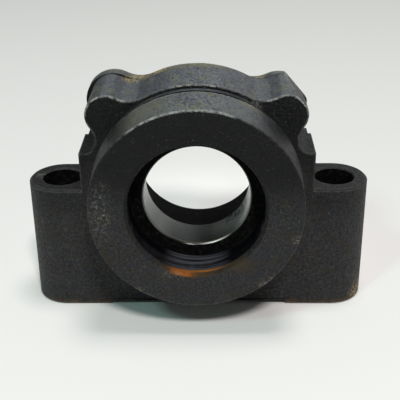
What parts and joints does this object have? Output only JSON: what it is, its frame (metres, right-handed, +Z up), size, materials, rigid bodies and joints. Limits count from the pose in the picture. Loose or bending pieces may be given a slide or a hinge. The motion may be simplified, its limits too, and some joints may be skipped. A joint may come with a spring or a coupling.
{
  "type": "bearing housing",
  "caption": "One-piece cast iron bearing housing with a wide round collar, an eared ring behind it, and upright bolt columns at both sides.",
  "frame": {"origin": "on the base plane, under the bearing axis, midway between the two upright foot bolt holes", "axes": "+Z up from the base, +X along the line of the foot bolts to the right foot, +Y along the bearing axis from the collar to the rear flange"},
  "size_m": [0.19, 0.0777, 0.1337],
  "materials": {
    "casting": "sand-cast grey iron under thin worn black paint, bores machined bare"
  },
  "bodies": {
    "root": {"housing": "casting"}
  },
  "joints": []
}
